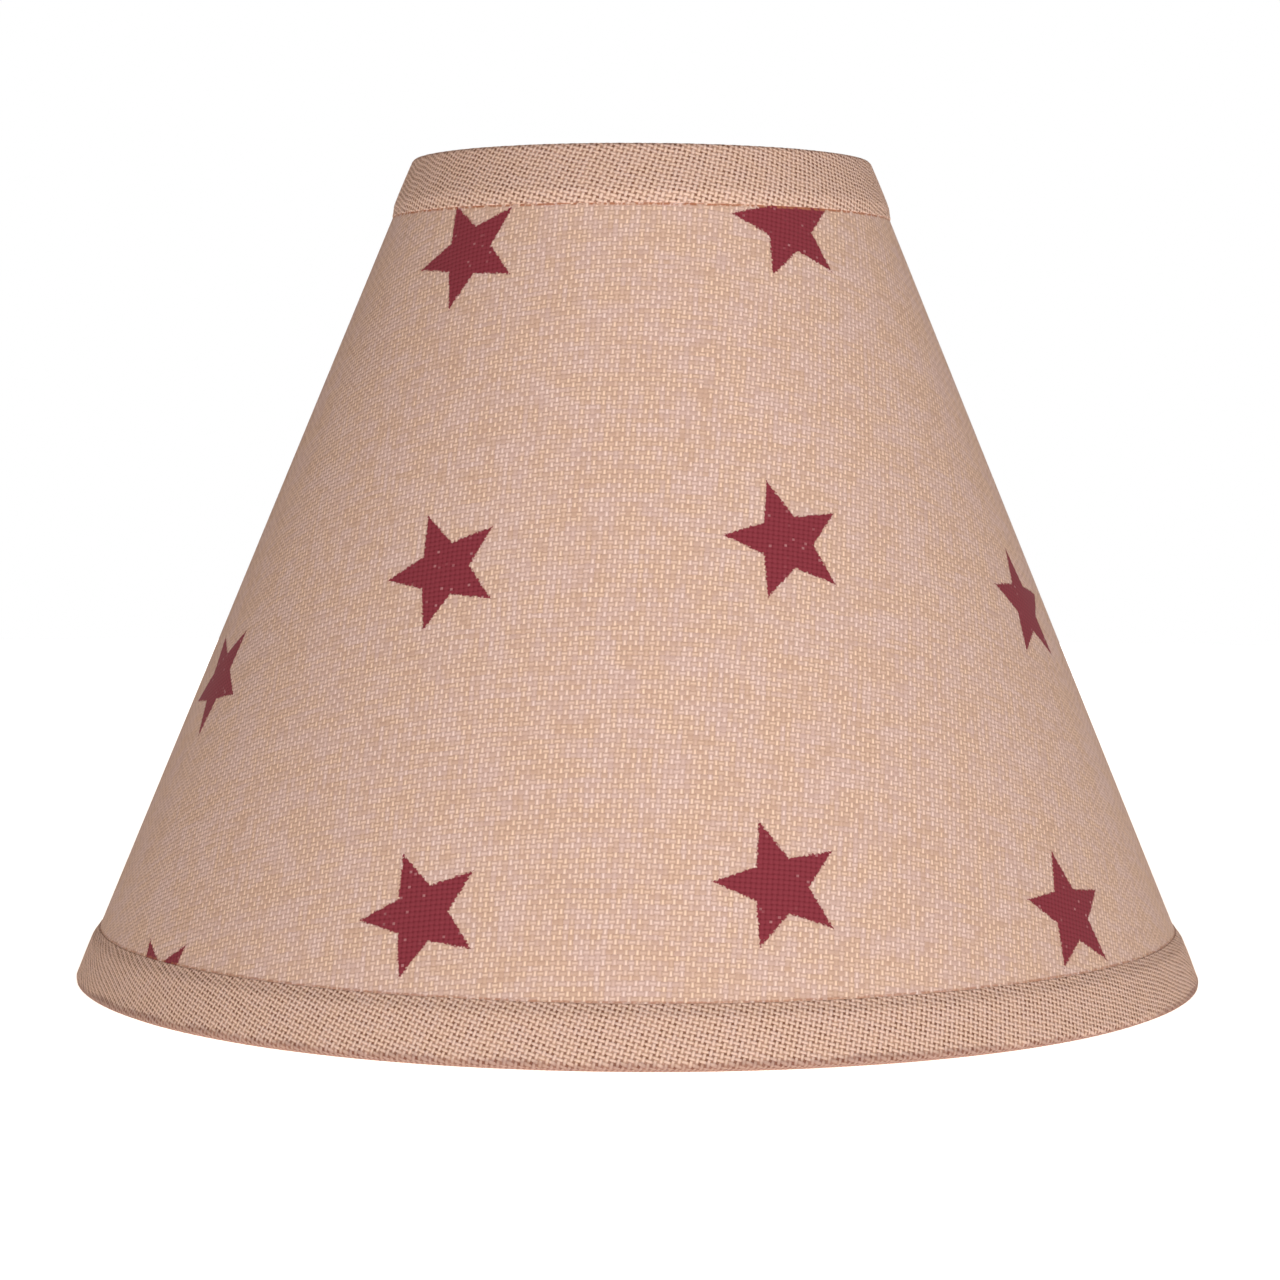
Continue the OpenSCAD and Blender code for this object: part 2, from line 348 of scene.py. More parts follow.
def grid_quads(rows, cols, closed):
    """The grid's faces as corners (row, column), with the skins joined along a sheet's two ends."""
    i, j = np.meshgrid(np.arange(rows), np.arange(cols if closed else cols - 1), indexing="ij")
    i, j = i.ravel(), j.ravel()
    quads = [np.stack([(i, j), (i, j + 1), (i + 1, j + 1), (i + 1, j)]).transpose(2, 0, 1)]
    skin = np.arange(rows // 2 - 1)
    mate = rows - 1 - np.arange(rows)
    for column, side in () if closed else ((0, 1), (cols - 1, -1)):
        rim = [skin, skin + 1, mate[skin + 1], mate[skin]][::side]
        quads.append(np.stack([(at, np.full(len(skin), column)) for at in rim]).transpose(2, 0, 1))
    return np.concatenate(quads)


def shell(name, loop, closed, cloth, bake):
    """A thin shell from points loop[row, column], with its two maps in the same order."""
    rows, cols = loop.shape[:2]
    quads = grid_quads(rows, cols, closed)
    points = loop.reshape(-1, 3)
    index = (quads[..., 0] % rows) * cols + quads[..., 1] % cols
    p, q, r, t = (points[index[:, k]] for k in range(4))
    volume = np.einsum("ij,ij->", p, np.cross(q, r)) + np.einsum("ij,ij->", p, np.cross(r, t))
    if volume < 0:
        quads, index = quads[:, ::-1], index[:, ::-1]
    mesh = bpy.data.meshes.new(name)
    mesh.from_pydata(points, [], index)
    for layer, plan in (("cloth", cloth), ("OFBake", bake)):
        uv = plan[quads[..., 0], quads[..., 1]]
        if plan is bake:
            uv = tuck(uv)
        mesh.uv_layers.new(name=layer).uv.foreach_set("vector", uv.astype(np.float32).ravel())
    return show(name, mesh)


def tuck(uv):
    """Moves the faces that the layout tears apart to squares of their own."""
    torn = np.nonzero(np.ptp(uv, axis=1).max(axis=1) > TORN_OVER)[0]
    place = np.arange(len(torn))
    spot = np.stack([place % SPOTS_ACROSS, place // SPOTS_ACROSS], -1) * SPOT_PITCH + SPOTS_FROM
    uv[torn] = spot[:, None] + SPOT * np.array([(0, 0), (1, 0), (1, 1), (0, 1)])
    return uv


def show(name, mesh):
    """Puts a finished mesh in the scene, shaded smooth except at its corners."""
    mesh.validate()
    mesh.shade_smooth()
    mesh.set_sharp_from_angle(angle=math.radians(55))
    piece = bpy.data.objects.new(name, mesh)
    scene.collection.objects.link(piece)
    print(f"{name}: {len(mesh.vertices)} vertices, {len(mesh.polygons)} faces")
    return piece


# %% [markdown]
# ## The weave
#
# Plain weave is two sets of threads that pass over and under each other like a
# chessboard. Each thread's middle rises and falls as a cosine along its length, the other
# set in step with the gaps, and its cross-section is a half round. The cloth's surface is
# whichever thread is higher. The same formula raises real threads on the hems and shades
# them, because it is written once for numpy arrays and for shader values alike.

# %% Define the weave
WAVE = 0.5
ROUND = 0.6
GAP_DEPTH = 1.1
COTTON_GLOSS = {
    "Roughness": 0.9, "Specular_IOR_Level": 0.15, "Sheen_Weight": 0.04, "Sheen_Roughness": 0.5,
}


def weave(kit, x, y, half_width):
    """Height of the cloth, about -1 to 1.1, with threads one unit apart along x and y."""
    i, j = kit.rint(x), kit.rint(y)
    sides = [(x - i) / half_width, (y - j) / half_width]
    waves = [kit.cos((y + i) * math.pi) * WAVE, kit.cos((x + j) * math.pi) * -WAVE]
    threads = []
    for side, wave in zip(sides, waves):
        hump = kit.sqrt(kit.maximum(1 - side * side, 0))
        threads.append(wave + hump * (ROUND + GAP_DEPTH) - GAP_DEPTH)
    return kit.maximum(*threads)


def spines(m, x, y, width):
    """Along the middle of each thread where it rides over, 1, for the warp and for the weft."""
    i, j = m.rint(x), m.rint(y)
    lines = []
    for side, wave in ((x - i, m.cos((y + i) * math.pi)), (y - j, m.cos((x + j) * math.pi) * -1)):
        lines.append(m.between(abs(side), width, width * 0.25) * m.between(wave, -0.35, 0.45))
    return lines


def turned(x, y, warp, weft):
    """Flat millimetres as thread counts, with each set of threads at its own angle and pitch."""
    counts = []
    for threads in (warp, weft):
        turn, pitch = math.radians(threads["turn"]), threads["pitch"]
        counts.append(x * (math.cos(turn) / pitch) + y * (math.sin(turn) / pitch))
    return counts


# %% [markdown]
# ## The lapped sheets
#
# The liner and the printed cotton are each cut as a fan, rolled into a cone and glued
# where the ends overlap. At the back the sheet steps out over its own start. Rolling a
# cone is exact: distances from the cone's tip stay what they were on the flat fan, and
# the angle round the cone shrinks by the sine of its lean. That gives the flat
# coordinates for the print at no cost.

# %% Roll a fan into a cone
ROUND_COLUMNS = 720
SHEET_ROWS = 44
LAYOUT_ROOM = 1.02
LAYOUT_TIP = (0.5, 0.52)
INNER_SKIN_UP = 0.46
tip_r = low_r + face["outer"] * lean_cos


def slant_from_tip(up):
    """Distance along the printed face from the cone's tip."""
    return tip_r / lean_sin - up


def fan(around, up):
    """Flat millimetres of a place, from the cone's tip, for an angle round the shade."""
    reach, turn = slant_from_tip(up) / MM, around * lean_sin
    return np.stack([reach * np.sin(turn), -reach * np.cos(turn)], -1)


def round_the_shade(layer, r):
    """The sheet's columns at radius r as angles, from its hidden start to its end, and their rise."""
    step_end = layer["root"] - (layer["outer"] - layer["inner"])
    under = np.linspace(under_end, layer["end"], 6)[:-1]
    ramp = np.linspace(0, 1, 7)[1:]
    over = np.linspace(step_end, layer["end"], 9)[1:]
    start = -math.pi + np.arcsin(-layer["end"] / r)
    stop = math.pi - np.arcsin(layer["root"] / r)
    around = np.concatenate([
        -math.pi - np.arcsin(under / r),
        start + np.linspace(0, 1, ROUND_COLUMNS) * (stop - start),
        math.pi - np.arcsin((layer["root"] + ramp * (step_end - layer["root"])) / r),
        math.pi - np.arcsin(over / r),
    ], axis=1)
    level = np.zeros(len(under) + ROUND_COLUMNS)
    climb = ramp ** 2 * (3 - 2 * ramp)
    return around, np.concatenate([level, climb, np.ones(len(over))]) * layer["lift"]


def rolled_sheet(name, layer):
    """A fan of sheet rolled into the cone, stepping out over its own start at the back."""
    up = np.linspace(layer["low"], layer["high"], SHEET_ROWS)[:, None]
    around, rise = round_the_shade(layer, wall((layer["inner"] + layer["outer"]) / 2, up)[0])
    place = np.concatenate([around, around[::-1]])
    across = np.concatenate([np.full_like(around, layer[skin]) + rise for skin in ("outer", "inner")])
    height = np.concatenate([up, up[::-1]])
    r, z = wall(across, height)
    loop = np.stack([r * np.sin(place), -r * np.cos(place), z], -1)
    flat = fan(place, np.broadcast_to(height, place.shape))
    flat = np.concatenate([flat, flat[:1]])
    bake = flat / (2 * slant_from_tip(layer["low"]) / MM * LAYOUT_ROOM) + LAYOUT_TIP
    bake[SHEET_ROWS:-1] += [0, INNER_SKIN_UP]
    return shell(name, loop, False, flat, bake)


cloth_face = rolled_sheet("printed_cotton_cone", face)
liner_sheet = rolled_sheet("white_liner_cone", liner)

# %% [markdown]
# ## The stars
#
# The cotton is screen printed with stars. They stand on a slightly skewed grid, because
# the fan was cut across the print. Rounding a position to the nearest grid point finds its
# star. Folding the angle round that point into a tenth of a turn leaves one straight edge
# to measure to. An image could hold the print too, but a formula stays sharp at any size.

# %% Measure to the nearest star
# Millimetres of flat cloth, with the cone's tip at (0, 0).
STAR_AT = (30.6, -221.5)
STAR_ACROSS = (72.2, 5.0)
STAR_DOWN = (-2.3, -73.2)
STAR_TIP = 13.4
STAR_WAIST = 0.445 * STAR_TIP


def star_edge(m, x, y):
    """Millimetres outside the nearest star's outline, negative inside."""
    size = STAR_ACROSS[0] * STAR_DOWN[1] - STAR_ACROSS[1] * STAR_DOWN[0]
    dx, dy = x - STAR_AT[0], y - STAR_AT[1]
    col = m.rint(dx * (STAR_DOWN[1] / size) - dy * (STAR_DOWN[0] / size))
    row = m.rint(dy * (STAR_ACROSS[0] / size) - dx * (STAR_ACROSS[1] / size))
    dx = dx - col * STAR_ACROSS[0] - row * STAR_DOWN[0]
    dy = dy - col * STAR_ACROSS[1] - row * STAR_DOWN[1]
    fifth = 2 * math.pi / 5
    turn = m.maths("ARCTAN2", dy, dx * -1) / fifth
    fold = abs(turn - m.rint(turn)) * fifth
    far = m.sqrt(dx * dx + dy * dy)
    waist = (STAR_WAIST * math.cos(fifth / 2), STAR_WAIST * math.sin(fifth / 2))
    side = math.hypot(STAR_TIP - waist[0], waist[1])
    out = (waist[1] / side, (STAR_TIP - waist[0]) / side)
    return (far * m.cos(fold) - STAR_TIP) * out[0] + far * m.maths("SINE", fold) * out[1]


print(f"stars {2 * STAR_TIP:.1f} mm across, {math.hypot(*STAR_ACROSS):.1f} mm apart")

# %% [markdown]
# ## The printed cotton
#
# The cloth is a close plain weave in tan and cream. Each thread has its own tint, and a
# painted highlight runs along the middle of a thread where it rides over another, with
# painted shade in the pits. The ink bridges the threads, misses a few pits and frays along
# the weave, and is painted darker in the weave's low places as painted shade. Beside each
# hem a thin, broken, brownish line is painted: partly glue taken up by the cloth, partly
# painted shadow under the hem's edge.

# %% Mix the printed cotton
# Turns in degrees from the cloth's own x axis, pitches in millimetres.
WARP = {"turn": 176.7, "pitch": 1.10}
WEFT = {"turn": 89.5, "pitch": 1.03}
HEM_EDGES = (
    slant_from_tip(corners_of("bottom_hem")[3].max()) / MM,
    slant_from_tip(corners_of("top_hem")[3].min()) / MM,
)


def bare_cloth(m, x, y, a, b, height):
    """The colour before printing, with painted highlights and painted shade in the weave, for flat
    millimetres x, y and thread counts a, b.
    """
    # Painted highlights along the middle of each thread where it rides over another.
    warp_highlight, weft_highlight = spines(m, a, b, 0.30)
    each = m.noise(m.rint(a) * 1.9 + 0.4, m.rint(b) * 2.3 + 0.7, 1.0)
    warp_highlight = warp_highlight * m.between(each, 0.15, 0.55)
    weft_highlight = weft_highlight * m.between(each, 0.25, 0.75) * 0.7
    warp_tint = m.noise(m.rint(a) * 3.7, b * 0.12, 1.0)
    weft_tint = m.noise(a * 0.12, m.rint(b) * 3.7 + 91, 1.0)
    tint = warp_tint * 0.5 + weft_tint * 0.5
    patch = m.noise(x * 0.6, y, 0.15, 3.0)
    tan = m.between(tint * 0.65 + patch * 0.35, 0.36, 0.62)
    ground = m.mix(tan, paint(203, 172, 161), paint(200, 166, 146))
    bright = m.mix(tan, paint(236, 212, 204), paint(240, 212, 189))
    # Painted shade in the weave's pits.
    pit_shade = m.between(height, 0.15, -0.6)
    cloth = m.mix(pit_shade * 0.8, ground, paint(176, 140, 128))
    return m.mix(m.maximum(warp_highlight, weft_highlight), cloth, bright)


def inked(m, x, y, a, b, height, cloth):
    """The cloth with its stars printed on it."""
    fray = (m.noise(x, y, 1.9, 1.0) - 0.5) * 0.9 + (0.4 - height) * 0.14
    ink = m.between(star_edge(m, x, y) + fray, 0.16, -0.16)
    missed = m.between(m.noise(m.rint(a * 2) * 5.3, m.rint(b * 2) * 5.3, 1.0), 0.74, 0.79)
    # Painted shade and highlight on the ink: darker in the weave's low places, lighter on the crests.
    colour = m.mix(m.between(height, -0.4, 1.1), paint(114, 37, 48), paint(136, 54, 65))
    colour = m.mix(missed * 0.5, colour, paint(200, 150, 152))
    return m.mix(ink, cloth, colour)


def glue_and_shade_line(m, x, y, cloth):
    """The cloth with a broken line beside each hem: partly glue stain, partly painted shadow under
    the hem's edge.
    """
    far = m.sqrt(x * x + y * y)
    low_edge = m.between(far - HEM_EDGES[0], -0.7, -0.3) * 0.55
    high_edge = m.between(HEM_EDGES[1] - far, -0.75, -0.35) * 0.9
    # Partly glue stain, partly painted shadow under the hem's edge.
    glue_and_shade = (low_edge + high_edge) * m.between(m.noise(x, y, 0.9, 2.0), 0.36, 0.56)
    return m.mix(glue_and_shade, cloth, paint(172, 112, 82))


def printed_cotton():
    m = Recipe("printed_cotton")
    x, y = m.plane("cloth")
    a, b = turned(x, y, WARP, WEFT)
    a = a + m.noise(x, y, 0.09, 2.0) * 0.5
    b = b + m.noise(y, x, 0.11, 2.0) * 0.5
    height = weave(m, a, b, 0.5)
    colour = bare_cloth(m, x, y, a, b, height)
    colour = inked(m, x, y, a, b, height, colour)
    return m.finish(
        Base_Color=glue_and_shade_line(m, x, y, colour), Normal=m.bump(height, 0.00012, 0.6), **COTTON_GLOSS
    )


cloth_face.data.materials.append(printed_cotton())
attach(cloth_face, "shade")
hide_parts("face_fabric")

# %% [markdown]
# ## The liner
#
# Hardback shades are stiffened with white styrene sheet. It is smooth and slightly
# glossy, with the faint cloudiness of rolled plastic, and it shows the bulb's side of the
# shade as one clean surface between the hems.

# %% Mix the liner
def white_styrene():
    m = Recipe("white_styrene")
    x, y = m.plane("cloth")
    cloud = m.noise(x, y, 0.03, 3.0)
    grain = m.noise(x, y, 2.5, 2.0)
    colour = m.mix(cloud, paint(238, 233, 222), paint(246, 243, 236))
    return m.finish(
        Base_Color=colour, Roughness=0.34 + grain * 0.12, Specular_IOR_Level=0.45,
        Normal=m.bump(grain, 0.00002, 0.5),
    )


liner_sheet.data.materials.append(white_styrene())
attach(liner_sheet, "shade")
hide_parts("hardback_liner")

# %% [markdown]
# ## The hems
#
# Each rim is bound with a strip of the unprinted cloth. It is glued down on the outside,
# turned over the edge, wrapped round the wire ring and glued up on the inside. Its
# profile is drawn once, as a centre line in the wall's two numbers: straight runs joined
# by arcs round the cloth's edge and round the ring. A simulation could wrap it too, but
# glued cloth doesn't hang, so a drawn line is closer to the real one.

# %% Draw the hem's profile
HEM_SLACK = 0.1 * MM
KNEE = 5 * MM
FINE = 0.1 * MM


def ease(x, start, stop):
    """0 before start and 1 after stop, with a smooth climb."""
    t = np.clip((x - start) / (stop - start), 0, 1)
    return t * t * (3 - 2 * t)


def arc(centre, radius, start, stop, count):
    """Points on part of a circle, from start to stop in degrees."""
    turn = np.radians(np.linspace(start, stop, count))
    return [(centre[0] + radius * math.cos(a), centre[1] + radius * math.sin(a)) for a in turn]


def even(line, steps):
    """The line's points at the distances given along it, and its length."""
    line = np.array(line)
    along = np.concatenate([[0], np.cumsum(np.linalg.norm(np.diff(line, axis=0), axis=1))])
    return np.stack([np.interp(steps, along, column) for column in line.T], -1), along[-1]


def rounded(line, reach):
    """The line as points FINE apart, each the mean of those within reach steps either way."""
    fine, _ = even(line, np.arange(0, even(line, [0])[1], FINE))
    grown = np.concatenate([np.repeat(fine[:1], reach, 0), fine, np.repeat(fine[-1:], reach, 0)])
    kernel = np.ones(2 * reach + 1) / (2 * reach + 1)
    return np.stack([np.convolve(column, kernel, "valid") for column in grown.T], -1)


def hem_line(node, rim):
    """The hem's centre line, as across and inward from the ring's centre, and its thickness."""
    _, y, across, up = corners_of(node)
    inward = (up if rim > 0 else slant - up)[y < 0]
    across = across[y < 0]
    outside, inside = across > face["outer"], across < liner["inner"]
    thick = across[outside].max() - across[outside].min()
    leg, inner_leg = across[outside].max() - thick / 2, liner["inner"] - thick / 2
    edge = face["low"] if rim > 0 else slant - face["high"]
    wrap = ring_wire / 2 + HEM_SLACK + thick / 2
    knee = (inner_leg, KNEE)
    reach = math.hypot(*knee)
    leave = math.degrees(math.atan2(knee[1], knee[0]) + math.acos(wrap / reach)) - 360
    corner = leg - face["outer"]
    line = [(leg, inward[outside].max())]
    line += arc((face["outer"], edge), corner, 0, -80, 14)
    line += arc((0, 0), wrap, -92, leave, 30)
    line += [knee, (inner_leg, inward[inside].max())]
    return line, thick


# %% [markdown]
# ## Rows along the profile
#
# The rows lie close together on the outside, where the threads are real relief, and wider
# inside. The strip's pressed ends thin to an edge, so that the cone and the hem meet in a
# fine line and not in a step.

# %% Space the rows and thin the edges
RIM_STEP = 0.50 * MM
INSIDE_STEP = 0.9 * MM
EDGE_THICK = 0.3
EDGE_TAPER = 3.0 * MM
LIP = 0.2 * MM


def hem_rows(line, thick, outside_to):
    """Points of the centre line, their normals, their places along it and the outer skin's offset."""
    _, length = even(line, [0])
    outside = np.arange(0, outside_to, RIM_STEP)[1:]
    inside = np.arange(outside_to, length, INSIDE_STEP)
    steps = np.concatenate([[0, 0.4 * LIP, LIP], outside, inside, [length - LIP, length]])
    steps = np.unique(np.round(steps, 7))
    smooth = rounded(line, 4)
    smooth[0], smooth[-1] = line[0], line[-1]
    points, _ = even(smooth, steps * 0.999 * ((len(smooth) - 1) * FINE / length))
    along = np.gradient(points, axis=0)
    along /= np.hypot(*along.T)[:, None]
    normal = np.stack([-along[:, 1], along[:, 0]], -1)
    near_end = np.minimum(steps, length - steps)
    taper = EDGE_THICK + (1 - EDGE_THICK) * ease(near_end, 0, EDGE_TAPER)
    taper *= 0.25 + 0.75 * np.sqrt(np.clip(near_end / LIP, 0, 1))
    return points, normal, steps, thick * (taper - 0.5)


# %% [markdown]
# ## Swells and wobbles
#
# A hand-glued strip is never quite even. It swells where it crosses the lap and where its
# own two ends overlap, its surface wobbles by a few hundredths of a millimetre, and its
# threads drift. The wobbles are sums of waves that fit a whole number of times round the
# rim, so they close on themselves.

# %% Let the hem swell and wander
JOIN = (9 * MM, 19 * MM)
JOIN_RISE = 0.45 * MM
WAVES_ROUND = (3, 5, 8, 13, 21, 34, 55)


def swelling(x, back):
    """How far the hem is lifted by the lap below it and by its own overlap."""
    lap = ease(x, face["end"] - 1.0 * MM, face["end"] - 0.1 * MM)
    lap *= 1 - ease(x, face["root"] - 0.3 * MM, face["root"] + 0.9 * MM)
    join = ease(x, JOIN[0] - 1.5 * MM, JOIN[0]) * (1 - ease(x, JOIN[1], JOIN[1] + 0.25 * MM))
    return np.where(back, lap * face["lift"] + join * JOIN_RISE, 0)


def wander(around, seed, size):
    """A slow, seeded wobble round the rim that closes on itself."""
    draw = np.random.default_rng(seed)
    total = np.zeros_like(around)
    for waves in WAVES_ROUND:
        total += draw.normal() * np.cos(around * waves + draw.uniform(0, 6.28)) / math.sqrt(waves)
    return total * size


# %% [markdown]
# ## The strip's two maps
#
# The strip is cut at an angle to the thread and stretched, so its weave leans and opens.
# Its first map is the flat strip in millimetres. For the second, a strip 28 mm wide and
# 784 mm long would waste a square, so it is cut into lanes that lie above each other.

# %% Plan the strip
HEM_WARP = {"turn": 163.5, "pitch": 1.08}
HEM_WEFT = {"turn": 72.0, "pitch": 1.01}
HEM_THREAD = 0.30
DRIFT = 0.4
MARGIN = 0.01


def hem_cut(around, strip, rim, rim_r):
    """Flat millimetres for angles round the rim and distances along the profile."""
    flat = np.stack(np.meshgrid(around * (rim_r / MM), -rim * strip / MM), -1)
    return flat + np.stack([wander(around, 7, DRIFT), wander(around, 9, DRIFT)], -1)


def hem_lanes(steps, rows, cols, rim_r, lanes):
    """The outer skin, a gap and the inner skin, in lanes inside the unit square."""
    per_lane = (cols + lanes) // lanes
    column = np.arange(cols + 1)
    lane = np.minimum(column // per_lane, lanes - 1)
    share = 1 - 2 * MARGIN
    unit = per_lane * 2 * math.pi * rim_r / cols / share
    back = steps[rows[len(steps):]]
    down = np.concatenate([steps, steps[-1] + 1 * MM + (steps[-1] - back), [0]])
    u, v = np.meshgrid(MARGIN + (column - lane * per_lane) / per_lane * share, MARGIN + down / unit)
    return np.stack([u, v + lane * (2 * steps[-1] + 2.5 * MM) / unit], -1)


# %% [markdown]
# ## The bound rims
#
# Sweeping the profile round the rim gives the hem: out along the outer skin and back
# along the inner one, which needs fewer rows because it is never seen. The weave formula
# lifts each point of the outer skin a little, so the threads are low relief.

# %% Sweep the hem round the rim
HEM_STEP = 0.50 * MM
GLUE = 0.04 * MM
RELIEF = 0.05 * MM
CROWN = 0.10 * MM
WOBBLE = 0.03 * MM
EDGE_WOBBLE = 0.05 * MM
INNER_EVERY = 7
CLOSE_ROWS_PAST_RIM = {1: 7 * MM, -1: 8 * MM}
LANES = {1: 3, -1: 2}


def rim_wall(across, inward, rim):
    """Radius and height of a place measured inward from the lower or the upper ring."""
    return wall(across, inward if rim > 0 else slant - inward)


def raised_threads(around, strip, rim, rim_r):
    """Height of the weave over the strip."""
    flat = hem_cut(around, strip, rim, rim_r)
    a, b = turned(flat[..., 0], flat[..., 1], HEM_WARP, HEM_WEFT)
    return weave(np, a, b, HEM_THREAD) * RELIEF


def hem(name, node, rim):
    """A bound rim. rim is 1 for the lower one and -1 for the upper."""
    line, thick = hem_line(node, rim)
    width = line[0][1]
    outside_to = width + CLOSE_ROWS_PAST_RIM[rim]
    points, normal, steps, skin = hem_rows(line, thick, outside_to)
    rim_r = low_r if rim > 0 else top_r
    cols = 4 * round(2 * math.pi * rim_r / HEM_STEP / 4)
    around = (np.arange(cols) + 0.5) * 2 * math.pi / cols - math.pi
    inner = np.unique(np.append(np.arange(0, len(steps), INNER_EVERY), len(steps) - 1))
    rows = np.concatenate([np.arange(len(steps)), inner[::-1]])
    outer_skin = (np.arange(len(rows)) < len(steps))[:, None]
    threads = raised_threads(around, steps[rows], rim, rim_r)
    offset = np.where(outer_skin, skin[rows][:, None] + threads, -thick / 2 - GLUE)

    across, inward = points[rows, 0][:, None], points[rows, 1][:, None]
    r, _ = rim_wall(across, inward, rim)
    lift = swelling(r * np.sin(around), np.cos(around) < 0) + wander(around, 3, WOBBLE)
    leg = ease(steps, outside_to - 2.2 * MM, width * 0.6)[rows][:, None]
    crown = CROWN * np.sin(np.clip(steps[rows] / width, 0, 1) * math.pi)[:, None]
    across = across + normal[rows, 0][:, None] * offset + leg * lift + crown
    inward = inward + normal[rows, 1][:, None] * offset
    inward = inward + ease(inward, 6 * MM, 14 * MM) * wander(around, 5, EDGE_WOBBLE)
    r, z = rim_wall(across, inward, rim)
    if rim > 0:
        z = np.maximum(z, 0)
    loop = np.stack([r * np.sin(around), -r * np.cos(around), z], -1)

    full_turn = np.append(around, around[0] + 2 * math.pi)
    cloth = hem_cut(full_turn, np.append(steps[rows], steps[0]), rim, rim_r)
    return shell(name, loop, True, cloth, hem_lanes(steps, rows, cols, rim_r, LANES[rim]))


bottom_hem = hem("bottom_hem_strip", "bottom_hem", 1)
top_hem = hem("top_hem_strip", "top_hem", -1)

# %% [markdown]
# ## The plain cotton
#
# The strip is the same yarn without the print, woven wider, so gaps show between the
# threads; they are painted dark as painted shade. A ragged band along the lower rim's fold
# is painted darker too, as painted shade where the lower rim meets the table.

# %% Mix the plain cotton
FOLD = np.ptp(corners_of("bottom_hem")[3]) / MM


def plain_cotton():
    m = Recipe("plain_cotton")
    x, y = m.plane("cloth")
    a, b = turned(x, y, HEM_WARP, HEM_WEFT)
    height = weave(m, a, b, HEM_THREAD)
    warp_highlight, weft_highlight = spines(m, a, b, 0.34)
    warp_tint = m.noise(m.rint(a) * 3.7, b * 0.2, 1.0)
    weft_tint = m.noise(a * 0.2, m.rint(b) * 3.7 + 91, 1.0)
    tint = m.between(warp_tint * 0.5 + weft_tint * 0.5, 0.36, 0.62)
    thread = m.mix(tint, paint(203, 171, 159), paint(203, 167, 144))
    # Painted shade in the gaps between the threads, with a random tone from gap to gap.
    hole = m.noise(m.rint(a + 0.5) * 2.1, m.rint(b + 0.5) * 2.7, 1.0)
    gap_shade = m.mix(m.between(hole, 0.3, 0.7), paint(132, 92, 74), paint(184, 146, 127))
    colour = m.mix(m.between(height, 0.35, -0.55), thread, gap_shade)
    # Painted highlights along the thread crests.
    colour = m.mix(m.maximum(warp_highlight, weft_highlight) * 0.85, colour, paint(234, 204, 187))
    # Painted shade: a ragged dark band along the lower rim's fold.
    ragged = y + (m.noise(x, y, 0.8, 2.0) - 0.5) * 0.8
    foot_shade = m.between(ragged, 1.6 - FOLD, 0.6 - FOLD) * m.between(y, -3.5 - FOLD, -1.5 - FOLD)
    colour = m.mix(foot_shade * 0.55, colour, paint(112, 68, 58))
    return m.finish(Base_Color=colour, Normal=m.bump(height, 0.00014, 0.7), **COTTON_GLOSS)


plain = plain_cotton()
for strip, node in ((bottom_hem, "bottom_hem"), (top_hem, "top_hem")):
    strip.data.materials.append(plain)
    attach(strip, "shade")
    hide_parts(node)

# %% [markdown]
# ## Metals
#
# The rings and spring loops are drawn steel wire, the arms, rivet and saddle have a bright
# zinc plate, and the friction washers are brass. Such metal isn't one flat grey: it has a
# fine grain and a cloudy variation in gloss.

# %% Mix the metals
def plated(name, colour, dark, gloss):
    m = Recipe(name)
    cloud = m.cloud(260.0, 3.0)
    tone = m.mix(m.between(cloud, 0.35, 0.7), paint(*dark), paint(*colour))
    return m.finish(
        Base_Color=tone, Metallic=1.0, Roughness=gloss + cloud * 0.16,
        Normal=m.bump(m.cloud(3500.0), 0.00001, 0.4),
    )


zinc = plated("bright_zinc", (192, 194, 196), (176, 178, 181), 0.26)
steel = plated("drawn_steel", (182, 182, 184), (164, 164, 167), 0.22)
brass = plated("washer_brass", (206, 170, 100), (188, 150, 82), 0.28)

# %% [markdown]
# ## Finishing the mechanical parts
#
# The rings, arms, rivet, washers and saddle keep their exact shapes from the mechanical
# model and only need a finish. A tape closes the liner's seam: paper, off-white and matt.
# Stamped and cut edges are never sharp, and a Bevel modifier gives them the thin bright
# line that the eye expects, without touching the mesh.

# %% Finish the mechanical parts
EASED_EDGE = 0.12 * MM
EASED = ("clip_saddle", "spider_arm_left", "spider_arm_right", "pivot_rivet")


def paper_tape():
    m = Recipe("seam_tape")
    colour = m.mix(m.cloud(400.0), paint(226, 222, 208), paint(240, 238, 230))
    return m.finish(Base_Color=colour, Roughness=0.5)


finishes = {
    "seam_tape": paper_tape(), "bottom_ring": steel, "top_ring": steel,
    "spider_arm_left": zinc, "spider_arm_right": zinc, "pivot_rivet": zinc,
    "friction_washer_left": brass, "friction_washer_right": brass, "clip_saddle": zinc,
}
for node, finish in finishes.items():
    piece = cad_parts[node]
    piece.data.materials.clear()
    piece.data.materials.append(finish)
    if node in EASED:
        edge = piece.modifiers.new("soft_edges", "BEVEL")
        edge.width, edge.segments = EASED_EDGE, 2
        edge.limit_method, edge.angle_limit = "ANGLE", math.radians(40)
print("finished:", ", ".join(finishes))

# %% [markdown]
# ## The bulb clip
#
# Two loops of spring wire grip the bulb from the front and the back. Each one is bent from
# a single length: a tail under the saddle, a coil round the rivet, a leg out and down to a
# shoulder, and most of a circle round the bulb. The second half mirrors the first, and
# averaging the path over a millimetre or two rounds its bends.
#
# A curve object with a round bevel would draw the wire too. A swept mesh gives the same
# tube with its own map, and its last rings shrink to round the cut ends.

